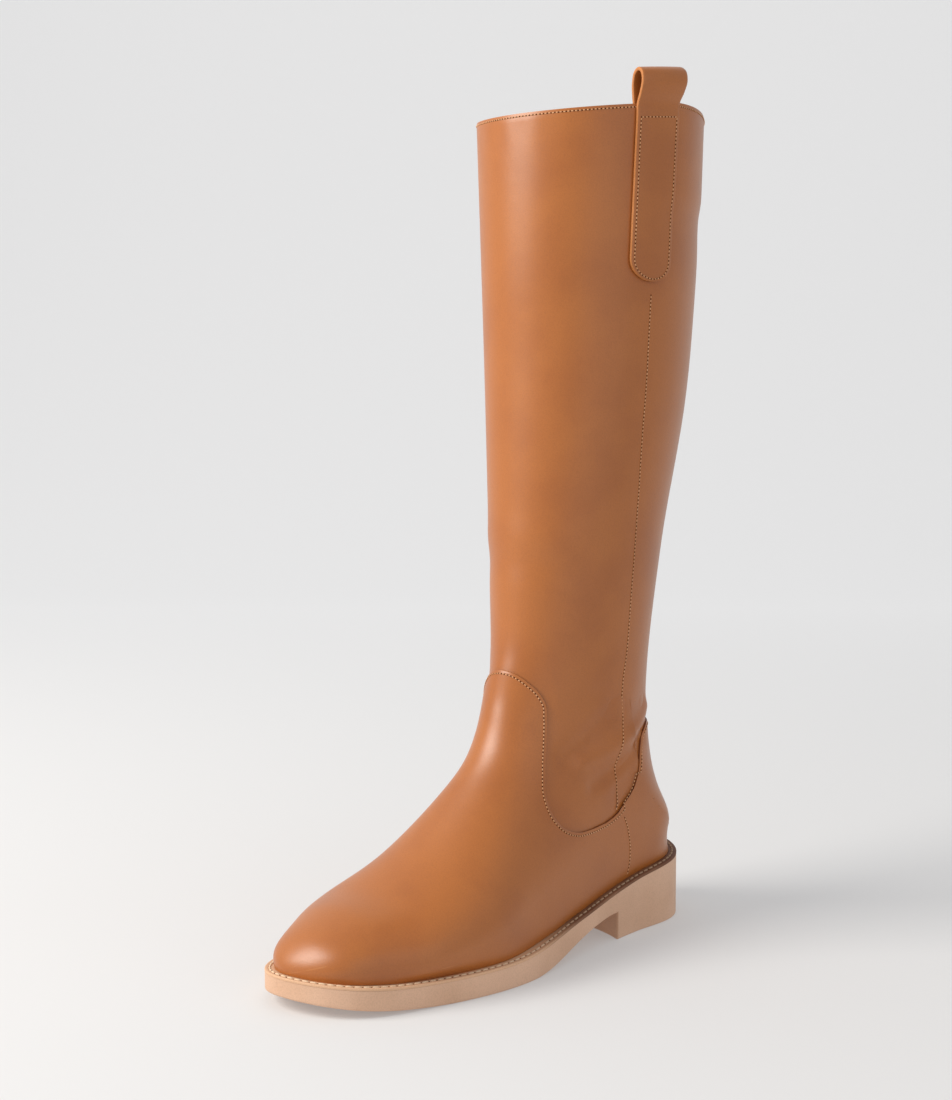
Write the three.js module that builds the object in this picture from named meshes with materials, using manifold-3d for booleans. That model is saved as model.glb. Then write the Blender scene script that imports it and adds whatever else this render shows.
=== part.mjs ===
// Knee-high boot, left foot: upper, insole, welt, outsole with moulded heel, and pull loop.
// Millimetres. +Z is up, the toe points to -Y, +X is the outer side of the foot.
// The origin lies on the floor, at the middle of the heel's flat bottom.
import * as THREE from "three";
import Module from "manifold-3d";

const wasm = await Module();
wasm.setup();

// ---------------------------------------------------------------- driving sizes
const TOE_Y = -230; // front end of the feather line, where upper and welt meet
const HEEL_Y = 34; // rear end of the feather line
const WALL = 2; // leather and lining together
const GAP = 0.3; // clearance between pieces that touch
const LEDGE = 5.4; // how far welt and outsole stand out past the feather line
const WELT = { thick: 1.4, inset: 3 };
const COLLAR_DIP = 0.135; // share of the top row by which the collar is lower at the back seam
const INSOLE = { inset: 4.2, above: 3 };
const FOREFOOT_FLAT = { front: -167, rear: -122 };
const TOE_SPRING = { rise: 7.5, over: 70 };
const HEEL_BREAST = { y: -41, rise: 14.5, hollow: 9, halfWidth: 36 };
// Fullness of the counter over the feather line and the hollow above it: height, spread
// and depth of each, growing from nothing at the middle of the heel to full at the rear.
const COUNTER = { z: 58, spread: 14, out: 3.2 };
const HOLLOW = { z: 106, spread: 18, out: -2 };
const LOOP = {
  t: -0.42, // place round the collar: -1 back seam, 0 front, on the outer side
  width: 26,
  thick: 1.8,
  below: 90,
  above: 17,
  inside: 45,
};

// ---------------------------------------------------------------- plan outline
// Half widths of the feather line and its middle line, at an angle that runs from
// 0 at the toe tip to 180 at the rear end.
const TOE_ROUNDNESS = 60;
const HEEL_ROUNDNESS = 56.3;
const PLAN = [
  { angle: 0, half: 0, middle: -10 },
  { angle: 25, half: 23.8, middle: -4.5 },
  { angle: 50, half: 38.6, middle: -3 },
  { angle: 75, half: 42.6, middle: 3 },
  { angle: 100, half: 33.5, middle: 5 },
  { angle: 125, half: 30, middle: 3.5 },
  { angle: 150, half: 28.3, middle: 1.2 },
  { angle: 180, half: 0, middle: 1.2 },
];

// Height of the feather line over the floor.
const FEATHER = [
  { y: -245, z: 18.5 },
  { y: -200, z: 13.4 },
  { y: -160, z: 12.6 },
  { y: -120, z: 14 },
  { y: -80, z: 20 },
  { y: -40, z: 27 },
  { y: 0, z: 33 },
  { y: 40, z: 37 },
];

// Back of the upper over the rear end of the feather line: counter, ankle, calf, collar.
const BACK = [
  { z: 36.6, y: 34 },
  { z: 75, y: 20 },
  { z: 120, y: 15 },
  { z: 200, y: 22 },
  { z: 280, y: 38 },
  { z: 342, y: 45 },
  { z: 445, y: 45.2 },
];

// ---------------------------------------------------------------- last sections
// Each section lies in a plane square to the boot's middle plane. It starts at a point of
// the top and front profile (topY, topZ), is widest at (wideY, wideZ), and goes on in a
// straight line, seen from the side, to the feather line or, from the heel upwards, to the
// back. The planes stand upright at the toe, fan round the heel and lie nearly level in the
// shaft. half is the half width and lean moves the ridge across.
const REAR = 8; // row that ends at the rear end of the feather line
const SECTIONS = [
  { name: "toe tip", topY: -230, topZ: 16.7, wideY: -230, wideZ: 16.7, half: 0, lean: 0 },
  { name: "toe cap", topY: -222, topZ: 30, wideY: -222, wideZ: 20, half: 20.8, lean: 0 },
  { name: "toe box", topY: -202, topZ: 40, wideY: -202.5, wideZ: 21.5, half: 32.8, lean: -2 },
  { name: "joint", topY: -177, topZ: 46.5, wideY: -178.5, wideZ: 23, half: 43.4, lean: -4 },
  { name: "ball", topY: -150, topZ: 61, wideY: -143, wideZ: 27.5, half: 43.8, lean: -5 },
  { name: "waist", topY: -120.5, topZ: 85, wideY: -107, wideZ: 38.5, half: 37.8, lean: -5 },
  { name: "instep", topY: -103, topZ: 104.5, wideY: -70, wideZ: 52.5, half: 34, lean: -4 },
  { name: "throat", topY: -94, topZ: 126, wideY: -38.5, wideZ: 70.5, half: 34, lean: -2 },
  { name: "heel", topY: -89.5, topZ: 144, wideY: -24, wideZ: 87, half: 36.2, lean: 0 },
  { name: "counter", topY: -85.5, topZ: 162, wideY: -31, wideZ: 118, half: 35.6, lean: 0 },
  { name: "ankle", topY: -84, topZ: 190, wideY: -34.5, wideZ: 155, half: 36.7, lean: 0 },
  { name: "lower shaft", topY: -81.5, topZ: 240, wideY: -30, wideZ: 220, half: 43, lean: 0 },
  { name: "calf", topY: -80, topZ: 300, wideY: -21, wideZ: 290, half: 50.4, lean: 0 },
  { name: "upper calf", topY: -81, topZ: 350, wideY: -18, wideZ: 346, half: 53.3, lean: 0 },
  { name: "collar", topY: -81, topZ: 428.5, wideY: -18, wideZ: 435.5, half: 58.3, lean: 0 },
];

// ---------------------------------------------------------------- curves through tables
// Cubic curve through (x, v): each knot's slope is the mean of its two neighbours' slopes.
function curveThrough(xs, vs) {
  const last = xs.length - 1;
  const rise = xs.slice(1).map((x, i) => (vs[i + 1] - vs[i]) / (x - xs[i]));
  const slope = vs.map((_, i) => {
    if (i === 0) return rise[0];
    if (i === last) return rise[last - 1];
    const before = xs[i] - xs[i - 1];
    const after = xs[i + 1] - xs[i];
    return (rise[i - 1] * after + rise[i] * before) / (before + after);
  });
  return (x) => {
    let i = 0;
    while (i < last - 1 && x > xs[i + 1]) i += 1;
    const h = xs[i + 1] - xs[i];
    const u = (x - xs[i]) / h;
    const v = 1 - u;
    const ends = (1 + 2 * u) * v * v * vs[i] + u * u * (3 - 2 * u) * vs[i + 1];
    return ends + u * v * v * h * slope[i] - u * u * v * h * slope[i + 1];
  };
}

const degrees = Math.PI / 180;
const planAngles = PLAN.map((row) => row.angle * degrees);
const planMiddle = curveThrough(planAngles, PLAN.map((row) => row.middle));
const planFullness = curveThrough(
  planAngles,
  PLAN.map((row, i) => {
    if (i === 0) return TOE_ROUNDNESS;
    if (i === PLAN.length - 1) return HEEL_ROUNDNESS;
    return row.half / Math.sin(planAngles[i]);
  }),
);
const featherHeight = curveThrough(FEATHER.map((row) => row.y), FEATHER.map((row) => row.z));

const footCentre = (TOE_Y + HEEL_Y) / 2;
const footReach = (HEEL_Y - TOE_Y) / 2;

// Angle of the plan outline at a place along the foot.
function planAngle(y) {
  return Math.acos(THREE.MathUtils.clamp((footCentre - y) / footReach, -1, 1));
}

function planHalf(angle) {
  return planFullness(angle) * Math.sin(angle);
}

// The feather line moved outwards by a distance: y, middle and half width at an angle.
function planAt(angle, outwards) {
  const raw = (a) => ({ y: footCentre - footReach * Math.cos(a), half: planHalf(a) });
  const step = 1e-4;
  const here = raw(angle);
  const ahead = raw(angle + step);
  const behind = raw(angle - step);
  const dy = ahead.y - behind.y;
  const dw = ahead.half - behind.half;
  const length = Math.hypot(dy, dw);
  return {
    y: here.y - (outwards * dw) / length,
    middle: planMiddle(angle),
    half: Math.max(0, here.half + (outwards * dy) / length),
  };
}

const backProfile = curveThrough(BACK.map((row) => row.z), BACK.map((row) => row.y));

// One column of the sections' table as a curve over the row number. Past the toe tip it
// goes on as its own mirror image, turned over for what grows from nothing there.
function sectionColumn(key, turned) {
  const values = SECTIONS.map((row) => row[key]);
  const mirrored = [values[2], values[1]].map((v) => (turned ? 2 * values[0] - v : v));
  return curveThrough([-2, -1, ...values.keys()], [...mirrored, ...values]);
}

const column = {
  topY: sectionColumn("topY", false),
  topZ: sectionColumn("topZ", true),
  wideY: sectionColumn("wideY", false),
  wideZ: sectionColumn("wideZ", true),
  half: sectionColumn("half", true),
  lean: sectionColumn("lean", false),
};

// Share of the way from top to widest place at which a section's straight line meets the
// feather line or the back, by a few steps of the secant rule.
function sectionReach(top, wide, inFoot) {
  const missBy = (share) => {
    const y = top.y + (wide.y - top.y) * share;
    const z = top.z + (wide.z - top.z) * share;
    return inFoot ? z - featherHeight(y) : backProfile(z) - y;
  };
  let [before, now] = [1, 1.6];
  for (let step = 0; step < 12 && Math.abs(missBy(now)) > 1e-7; step += 1) {
    const slope = (missBy(now) - missBy(before)) / (now - before);
    [before, now] = [now, now - missBy(now) / slope];
  }
  return now;
}

// Point of the upper's outer face. row is the row number, t runs from -1 on the outer side's
// feather line over the ridge at 0 to 1 on the inner side's, and is widest at -0.5 and 0.5.
// Above the widest place the section is a quarter ellipse, below it a squarer quarter that
// the feather line cuts off.
const SQUARENESS = { foot: 2.2, shaft: 2, changesOver: 2 };
function upperPoint(row, t) {
  const towardsBack = Math.max(0, -Math.cos(Math.PI * t));
  const dip = (COLLAR_DIP * towardsBack * (1 + towardsBack)) / 2;
  const s = row - dip * Math.max(0, row - (SECTIONS.length - 2));
  const inFoot = s < REAR;
  const top = { y: column.topY(s), z: column.topZ(s) };
  const wide = { y: column.wideY(s), z: column.wideZ(s) };
  if (s === 0) return new THREE.Vector3(PLAN[0].middle, top.y, top.z);
  const reach = sectionReach(top, wide, inFoot);
  const endY = top.y + (wide.y - top.y) * reach;
  const nearRear = THREE.MathUtils.smoothstep(s, REAR - SQUARENESS.changesOver, REAR);
  const power = THREE.MathUtils.lerp(SQUARENESS.foot, SQUARENESS.shaft, nearRear);
  const half = column.half(s);
  const angleInPlan = inFoot ? planAngle(endY) : Math.PI;
  const cut = inFoot ? Math.min(planHalf(angleInPlan) / half, 0.985) : 0;
  const depth = (1 - cut ** power) ** (1 / power);
  const end = Math.PI / 2 + Math.asin(Math.min(1, depth ** (power / 2)));
  const beyond = Math.max(0, 2 * Math.abs(t) - 1);
  const angle = Math.min(Math.abs(t), 0.5) * Math.PI + (end - Math.PI / 2) * beyond;
  const sine = Math.abs(Math.sin(angle));
  const cosine = Math.abs(Math.cos(angle));
  const upwards = angle <= Math.PI / 2;
  const across = half * (t < 0 ? 1 : -1) * sine ** (upwards ? 1 : 2 / power);
  const share = upwards ? 1 - cosine : 1 + ((reach - 1) * cosine ** (2 / power)) / depth;
  const upright = THREE.MathUtils.smoothstep(s, REAR, SECTIONS.length - 1);
  const middle = planMiddle(angleInPlan) * (1 - upright);
  const x = middle + across + (upwards ? column.lean(s) * cosine ** 1.5 : 0);
  const y = top.y + (wide.y - top.y) * share;
  const z = top.z + (wide.z - top.z) * share;
  const bell = (shape) => shape.out * Math.exp(-(((z - shape.z) / shape.spread) ** 2));
  const push = THREE.MathUtils.smoothstep(y, -10, 20) * (bell(COUNTER) + bell(HOLLOW));
  const grown = 1 + push / Math.max(Math.hypot(x, y), 1);
  return new THREE.Vector3(x * grown, y * grown, z);
}

// ---------------------------------------------------------------- meshes
function meshOf(name, points, triangles, finish) {
  const geometry = new THREE.BufferGeometry();
  geometry.setAttribute("position", new THREE.Float32BufferAttribute(points.flat(), 3));
  geometry.setIndex(triangles.flat());
  geometry.computeVertexNormals();
  const mesh = new THREE.Mesh(geometry, new THREE.MeshStandardMaterial(finish));
  mesh.name = name;
  return mesh;
}

// A closed solid from rings of equal length, each joined to the next, capped at both ends.
function ringSolid(rings, cap) {
  const count = rings[0].length;
  const triangles = [];
  for (let i = 0; i + 1 < rings.length; i += 1) {
    for (let j = 0; j < count; j += 1) {
      const k = (j + 1) % count;
      const a = i * count + j;
      const b = i * count + k;
      triangles.push([a, b, b + count], [a, b + count, a + count]);
    }
  }
  const last = (rings.length - 1) * count;
  cap(count).forEach(([a, b, c]) => {
    triangles.push([a, c, b], [last + a, last + b, last + c]);
  });
  return { points: rings.flat(), triangles };
}

// Cap for a ring that goes along one side and back along the other.
function ladderCap(count) {
  const steps = count / 2;
  const triangles = [[0, 1, count - 1]];
  for (let i = 1; i < steps; i += 1) {
    triangles.push([i, i + 1, count - i]);
    if (i + 1 < steps) triangles.push([i + 1, count - i - 1, count - i]);
  }
  return triangles;
}

// Ring of the plan outline, moved outwards: rear to toe on the inner side, then back.
const PLAN_STEPS = 46;
function planRing(outwards, height) {
  const ring = [];
  for (let i = 0; i < 2 * PLAN_STEPS; i += 1) {
    const outer = i <= PLAN_STEPS;
    const angle = (Math.PI * (outer ? i : 2 * PLAN_STEPS - i)) / PLAN_STEPS;
    const { y, middle, half } = planAt(angle, outwards);
    ring.push([middle + (outer ? half : -half), y, height(y)]);
  }
  return ring;
}

const leather = { color: 0xb9713f, roughness: 0.42, metalness: 0 };
const rubber = { color: 0xd0a585, roughness: 0.6, metalness: 0 };

// ---------------------------------------------------------------- upper
// Rows of the grid: steps between one section and the next, closer towards the rear end
// of the feather line, where its half width falls off fastest.
const STEPS = [5, 4, 3, 3, 3, 4, 5, 7, 5, 3, 3, 3, 3, 3];
const AROUND = 32;
const stations = STEPS.flatMap((steps, row) =>
  Array.from({ length: steps }, (_, i) => {
    const u = i / steps;
    return row + (row === REAR - 1 ? Math.sin((u * Math.PI) / 2) : u);
  }),
).concat(SECTIONS.length - 1);

function makeUpper() {
  const outer = [];
  const index = stations.map((s, i) =>
    Array.from({ length: AROUND + 1 }, (_, j) => {
      const isPole = i === 0 && j > 0;
      const isSeam = s >= REAR && j === AROUND;
      if (!isPole && !isSeam) outer.push(upperPoint(s, (2 * j) / AROUND - 1));
      return outer.length - 1 - (isSeam ? AROUND - 1 : 0);
    }),
  );
  const faces = [];
  for (let i = 0; i + 1 < stations.length; i += 1) {
    for (let j = 0; j < AROUND; j += 1) {
      const [a, b, c, d] = [index[i][j], index[i][j + 1], index[i + 1][j + 1], index[i + 1][j]];
      if (a !== b) faces.push([a, c, b]);
      if (c !== d) faces.push([a, d, c]);
    }
  }
  const normals = outer.map(() => new THREE.Vector3());
  faces.forEach((face) => {
    const [a, b, c] = face.map((k) => outer[k]);
    const normal = b.clone().sub(a).cross(c.clone().sub(a));
    face.forEach((k) => normals[k].add(normal));
  });
  // Along the feather line the wall's lower edge is level.
  const rear = stations.indexOf(REAR);
  const featherEdges = index.slice(0, rear + 1).map((row) => [row[0], row[AROUND]]);
  featherEdges.flat().forEach((k) => normals[k].setZ(0));
  const count = outer.length;
  const inner = outer.map((p, k) => p.clone().addScaledVector(normals[k].normalize(), -WALL));
  const triangles = [...faces, ...faces.map(([a, b, c]) => [a + count, c + count, b + count])];
  // The band between the two faces, along a row of points that has the wall on its left.
  const band = (line) => {
    for (let i = 0; i + 1 < line.length; i += 1) {
      const [a, b] = [line[i], line[i + 1]];
      if (a !== b) triangles.push([b, a, a + count], [b, a + count, b + count]);
    }
  };
  band(index[index.length - 1]);
  band(featherEdges.map(([outerSide]) => outerSide));
  band(featherEdges.map(([, innerSide]) => innerSide).reverse());
  return meshOf("upper", [...outer, ...inner].map((p) => p.toArray()), triangles, leather);
}

// ---------------------------------------------------------------- sole
// Underside of the outsole in front of the heel: toe spring, flat tread, arch.
function treadHeight(y) {
  const toe = Math.max(0, (FOREFOOT_FLAT.front - y) / TOE_SPRING.over);
  const run = (y - FOREFOOT_FLAT.rear) / (HEEL_BREAST.y - FOREFOOT_FLAT.rear);
  const arch = THREE.MathUtils.clamp(run, 0, 1);
  return TOE_SPRING.rise * toe ** 2 + (HEEL_BREAST.rise * (1 - Math.cos(Math.PI * arch))) / 2;
}

function solidOf({ points, triangles }) {
  return new wasm.Manifold(
    new wasm.Mesh({
      numProp: 3,
      vertProperties: new Float32Array(points.flat()),
      triVerts: new Uint32Array(triangles.flat()),
    }),
  );
}

// Space under the tread from one place to another, wider than the sole. Its rear end is
// hollowed across by the given depth.
function underTread(front, rear, steps, hollow) {
  const across = 12;
  const side = 70;
  const rings = Array.from({ length: across + 1 }, (_, k) => {
    const x = side * (1 - (2 * k) / across);
    const share = 1 - Math.min(1, (x / HEEL_BREAST.halfWidth) ** 2);
    const line = Array.from({ length: steps + 1 }, (__, i) => {
      const y = front + ((rear - front) * i) / steps;
      return { y: i === steps ? y + hollow * share : y, z: treadHeight(y) };
    });
    const top = line.map(({ y, z }) => [x, y, z]);
    const bottom = line.map(({ y }) => [x, y, -2]).reverse();
    return [...bottom, ...top];
  });
  return ringSolid(rings, ladderCapOfProfile);
}

// Cap for a profile whose first half lies under its second half, point for point.
function ladderCapOfProfile(count) {
  const half = count / 2;
  const triangles = [];
  for (let i = 0; i + 1 < half; i += 1) {
    const [a, b, c, d] = [i, i + 1, count - 2 - i, count - 1 - i];
    triangles.push([a, b, c], [a, c, d]);
  }
  return triangles;
}

function makeOutsole() {
  const top = (y) => featherHeight(y) - 2 * GAP - WELT.thick;
  const block = solidOf(
    ringSolid([planRing(LEDGE, () => 0), planRing(LEDGE, top)], ladderCap),
  );
  const arch = solidOf(underTread(FOREFOOT_FLAT.rear, HEEL_BREAST.y, 12, HEEL_BREAST.hollow));
  const toe = solidOf(underTread(TOE_Y - 20, FOREFOOT_FLAT.front, 8, 0));
  const { vertProperties, triVerts } = block.subtract(arch).subtract(toe).getMesh();
  const points = Array.from({ length: vertProperties.length / 3 }, (_, i) =>
    Array.from(vertProperties.slice(3 * i, 3 * i + 3)),
  );
  return meshOf("outsole", points, [Array.from(triVerts)], rubber);
}

function makeWelt() {
  const top = (y) => featherHeight(y) - GAP;
  const bottom = (y) => top(y) - WELT.thick;
  const loops = [
    planRing(-WELT.inset, bottom),
    planRing(-WELT.inset, top),
    planRing(LEDGE, top),
    planRing(LEDGE, bottom),
  ];
  const rings = loops[0].map((_, j) => loops.map((loop) => loop[j]));
  const { points, triangles } = ringSolid([...rings, rings[0]], () => []);
  const last = rings.length * 4;
  const closed = triangles.map((face) => face.map((k) => (k >= last ? k - last : k)));
  return meshOf("welt", points.slice(0, last), closed, { color: 0xd4a880, roughness: 0.6 });
}

function makeInsole() {
  const bottom = (y) => featherHeight(y) - GAP - WELT.thick;
  const top = (y) => featherHeight(y) + INSOLE.above;
  const rings = [planRing(-INSOLE.inset, bottom), planRing(-INSOLE.inset, top)];
  const { points, triangles } = ringSolid(rings, ladderCap);
  return meshOf("insole", points, triangles, { color: 0xc9a27c, roughness: 0.8 });
}

// ---------------------------------------------------------------- pull loop
// One strap: sewn flat on the shaft's outer face, over the collar in a loose fold, and down
// the inner face. Its path is given by the place down the shaft and the distance outwards.
function makeLoop() {
  const collar = SECTIONS.length - 1;
  const rim = upperPoint(collar, LOOP.t);
  const shaftStep = 1e-3;
  const perRow = rim.distanceTo(upperPoint(collar - shaftStep, LOOP.t)) / shaftStep;
  const perTurn = rim.distanceTo(upperPoint(collar, LOOP.t + shaftStep)) / shaftStep;
  const frameAt = (s, t) => {
    const here = upperPoint(s, t);
    const down = upperPoint(s - shaftStep, t).sub(here);
    const round = upperPoint(s, t + shaftStep).sub(here);
    return { here, outwards: round.cross(down).normalize() };
  };
  const onOuter = GAP + LOOP.thick / 2;
  const onInner = -(WALL + GAP + LOOP.thick / 2);
  const path = [
    ...[1, 0.98, 0.94, 0.88, 0.6, 0.3, 0].map((u) => ({ down: LOOP.below * u, out: onOuter })),
    ...[
      { up: 0.3, out: 4 },
      { up: 0.65, out: 6 },
      { up: 0.9, out: 4.9 },
      { up: 1, out: 1.2 },
      { up: 0.9, out: -2.4 },
      { up: 0.6, out: -4.2 },
      { up: 0.25, out: -3.9 },
    ].map(({ up, out }) => ({ down: -LOOP.above * up, out })),
    ...[0, 0.5, 1].map((u) => ({ down: LOOP.inside * u, out: onInner })),
  ];
  const across = 8;
  const upright = new THREE.Vector3(0, 0, 1);
  const rowOf = ({ down, out }) => {
    const fromTip = LOOP.below - down;
    const round = LOOP.width / 2;
    const narrowed = out === onOuter && fromTip < round;
    const half = narrowed ? Math.sqrt(Math.max(round ** 2 - (round - fromTip) ** 2, 4)) : round;
    const s = collar - Math.max(down, 0) / perRow;
    return Array.from({ length: across + 1 }, (_, j) => {
      const t = LOOP.t + (half * ((2 * j) / across - 1)) / perTurn;
      const { here, outwards } = frameAt(s, t);
      return { point: here.addScaledVector(upright, Math.max(-down, 0)), outwards, out };
    });
  };
  const rows = path.map(rowOf);
  const rings = rows.map((row, i) => {
    const [before, after] = [rows[Math.max(i - 1, 0)], rows[Math.min(i + 1, rows.length - 1)]];
    const centre = (r, j) => r[j].point.clone().addScaledVector(r[j].outwards, r[j].out);
    const faces = [-LOOP.thick / 2, LOOP.thick / 2].map((offset) =>
      row.map((_, j) => {
        const along = centre(after, j).sub(centre(before, j));
        const k = Math.min(j + 1, across);
        const sideways = centre(row, k).sub(centre(row, k - 1));
        const normal = along.cross(sideways).normalize();
        return centre(row, j).addScaledVector(normal, offset).toArray();
      }),
    );
    return [...faces[0], ...faces[1].reverse()];
  });
  const { points, triangles } = ringSolid(rings, ladderCapOfProfile);
  return meshOf("pull_loop", points, triangles, leather);
}

const boot = new THREE.Group();
boot.add(makeUpper(), makeInsole(), makeWelt(), makeOutsole(), makeLoop());

export default boot;
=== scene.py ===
# %% [markdown]
# # Knee-high boot, left foot
# A tan leather pull-on boot: shaft, foot panel sewn over it, stitched welt, moulded sole
# with a low block heel, and a pull loop at the collar. The driving sizes repeat those of the
# CAD parts; here each visible piece gets its skin, its stitches and its material.

import math

import bmesh
import bpy
import numpy as np
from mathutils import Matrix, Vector


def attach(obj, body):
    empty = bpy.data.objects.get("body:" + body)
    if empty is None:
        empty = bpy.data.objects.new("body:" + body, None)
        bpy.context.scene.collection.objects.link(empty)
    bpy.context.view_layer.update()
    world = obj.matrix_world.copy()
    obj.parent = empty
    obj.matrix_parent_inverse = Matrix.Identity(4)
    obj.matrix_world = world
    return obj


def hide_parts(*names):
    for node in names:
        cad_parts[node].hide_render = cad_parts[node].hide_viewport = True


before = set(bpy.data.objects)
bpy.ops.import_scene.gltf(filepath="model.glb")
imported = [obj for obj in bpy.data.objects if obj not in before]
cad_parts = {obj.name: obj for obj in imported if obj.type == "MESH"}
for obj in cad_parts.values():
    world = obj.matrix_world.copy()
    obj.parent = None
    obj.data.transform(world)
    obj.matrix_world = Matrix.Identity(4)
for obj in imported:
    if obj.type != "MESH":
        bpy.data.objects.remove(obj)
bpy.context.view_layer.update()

# %% [markdown]
# ## Named sizes
# Millimetres in the boot's own frame: toe to -Y, outer side +X, floor at zero. The skins could
# be shrink-wrapped on the solid upper instead, but its facets would show. With the last's own
# sizes they lie where the solid lies and stay smooth.

# %% sizes and tables
MM = 0.001
TOE_Y, HEEL_Y = -230.0, 34.0
GAP, LEDGE, WELT_THICK = 0.3, 5.4, 1.4
REAR, COLLAR, COLLAR_DIP = 8, 14, 0.135
FOREFOOT_FRONT, FOREFOOT_REAR = -167.0, -122.0
TOE_RISE, TOE_OVER = 7.5, 70.0
BREAST_Y, BREAST_RISE, BREAST_HOLLOW = -41.0, 14.5, 9.0
LINING_IN, SHAFT_THICK = 2.0, 1.2
PANEL_PROUD, PANEL_UNDER = 0.75, 0.55
# soft bells on the rear of the last: outwards, height, spread
COUNTER_BELL, ANKLE_HOLLOW = (3.2, 58, 14), (-2.0, 106, 18)

# angle round the plan, half width, middle
PLAN = np.array([
    (0, 0, -10), (25, 23.8, -4.5), (50, 38.6, -3), (75, 42.6, 3),
    (100, 33.5, 5), (125, 30, 3.5), (150, 28.3, 1.2), (180, 0, 1.2),
], float)
# y, height of the feather line
FEATHER = np.array([
    (-245, 18.5), (-200, 13.4), (-160, 12.6), (-120, 14),
    (-80, 20), (-40, 27), (0, 33), (40, 37),
], float)
# height, y of the back
BACK = np.array([
    (36.6, 34), (75, 20), (120, 15), (200, 22), (280, 38), (342, 45), (445, 45.2),
], float)
# ridge y, ridge z, widest y, widest z, half width, lean: toe tip to collar
SECTIONS = np.array([
    (-230, 16.7, -230, 16.7, 0, 0),
    (-222, 30, -222, 20, 20.8, 0),
    (-202, 40, -202.5, 21.5, 32.8, -2),
    (-177, 46.5, -178.5, 23, 43.4, -4),
    (-150, 61, -143, 27.5, 43.8, -5),
    (-120.5, 85, -107, 38.5, 37.8, -5),
    (-103, 104.5, -70, 52.5, 34, -4),
    (-94, 126, -38.5, 70.5, 34, -2),
    (-89.5, 144, -24, 87, 36.2, 0),
    (-85.5, 162, -31, 118, 35.6, 0),
    (-84, 190, -34.5, 155, 36.7, 0),
    (-81.5, 240, -30, 220, 43, 0),
    (-80, 300, -21, 290, 50.4, 0),
    (-81, 350, -18, 346, 53.3, 0),
    (-81, 428.5, -18, 435.5, 58.3, 0),
], float)
# upper edge of the foot panel: place round the last (0 ridge, 1 back), section row, and
# the place round from which its column starts, which only ever grows
PANEL_EDGE = np.array([
    (0.0, 8.06, 0.0), (0.06, 8.05, 0.06), (0.115, 7.99, 0.115), (0.168, 7.88, 0.168),
    (0.198, 7.70, 0.190), (0.214, 7.36, 0.208), (0.238, 6.76, 0.236), (0.265, 6.33, 0.265),
    (0.302, 6.0, 0.302), (0.350, 5.87, 0.350), (0.397, 5.90, 0.397), (0.444, 6.08, 0.444),
    (0.474, 6.32, 0.474), (0.501, 6.62, 0.497), (0.524, 6.85, 0.510), (0.535, 7.08, 0.518),
    (0.533, 7.32, 0.527), (0.522, 7.70, 0.538), (0.515, 8.02, 0.548), (0.542, 8.47, 0.568),
    (0.604, 8.93, 0.606), (0.664, 9.35, 0.664), (0.76, 9.62, 0.76), (0.88, 9.8, 0.88),
    (1.0, 9.85, 1.0),
], float)
print(len(SECTIONS), "sections,", len(PANEL_EDGE), "points on the panel's edge")


# %% [markdown]
# ## The last as a surface
# On the real boot every leather piece is pulled over one last. Here the last is one formula
# in two numbers, so shaft, panel, lining, seams and stitches all lie on the same shape. A
# sculpted mesh could look alike, but nothing could then be placed on it by measure.

# %% curves and the last
def curve(xs, vs):
    """Cubic through (x, v); a knot's slope is the mean of its neighbours' chords, each
    weighted by the other chord's length, and the end slopes are the end chords."""
    xs, vs = np.asarray(xs, float), np.asarray(vs, float)
    h = np.diff(xs)
    rise = (np.diff(vs, axis=0).T / h).T
    slope = np.empty_like(vs)
    weight = (h[1:] + h[:-1]).reshape((-1,) + (1,) * (vs.ndim - 1))
    before = h[1:].reshape(weight.shape) * rise[:-1]
    after = h[:-1].reshape(weight.shape) * rise[1:]
    slope[1:-1] = (before + after) / weight
    slope[0], slope[-1] = rise[0], rise[-1]

    def at(x):
        x = np.asarray(x, float)
        i = np.clip(np.searchsorted(xs, x) - 1, 0, len(xs) - 2)
        u = (x - xs[i]) / h[i]
        if vs.ndim > 1:
            u = u[..., None]
            hi = h[i][..., None]
        else:
            hi = h[i]
        v = 1 - u
        ends = (1 + 2 * u) * v * v * vs[i] + u * u * (3 - 2 * u) * vs[i + 1]
        return ends + u * v * v * hi * slope[i] - u * u * v * hi * slope[i + 1]

    return at


def bell(x, centre, spread):
    """1 at the centre, falling off as e to the minus square of the distance in spreads."""
    return np.exp(-(((x - centre) / spread) ** 2))


def smoothstep(x, a, b):
    """0 below a, 1 above b, and 3u^2 - 2u^3 between them."""
    u = np.clip((np.asarray(x, float) - a) / (b - a), 0, 1)
    return u * u * (3 - 2 * u)


plan_angles = np.radians(PLAN[:, 0])
fullness = PLAN[:, 1] / np.maximum(np.sin(plan_angles), 1e-9)
fullness[0], fullness[-1] = 60, 56.3
plan_middle = curve(plan_angles, PLAN[:, 2])
plan_fullness = curve(plan_angles, fullness)
feather = curve(FEATHER[:, 0], FEATHER[:, 1])
back = curve(BACK[:, 0], BACK[:, 1])
CENTRE, REACH = (TOE_Y + HEEL_Y) / 2, (HEEL_Y - TOE_Y) / 2


def plan_half(angle):
    """Half width of the feather line: its fullness times the angle's sine."""
    return plan_fullness(angle) * np.sin(angle)


def column(k, turned):
    """One column of the sections as a curve over the row; before the toe it is mirrored,
    and turned over for the sizes that grow from nothing at the toe."""
    v = SECTIONS[:, k]
    mirrored = [2 * v[0] - v[j] if turned else v[j] for j in (2, 1)]
    return curve(np.concatenate([[-2, -1], np.arange(len(v))]), np.concatenate([mirrored, v]))


ridge_y, ridge_z, wide_y, wide_z, half_width, lean = [
    column(k, turned) for k, turned in enumerate((False, True, False, True, True, False))
]


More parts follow.
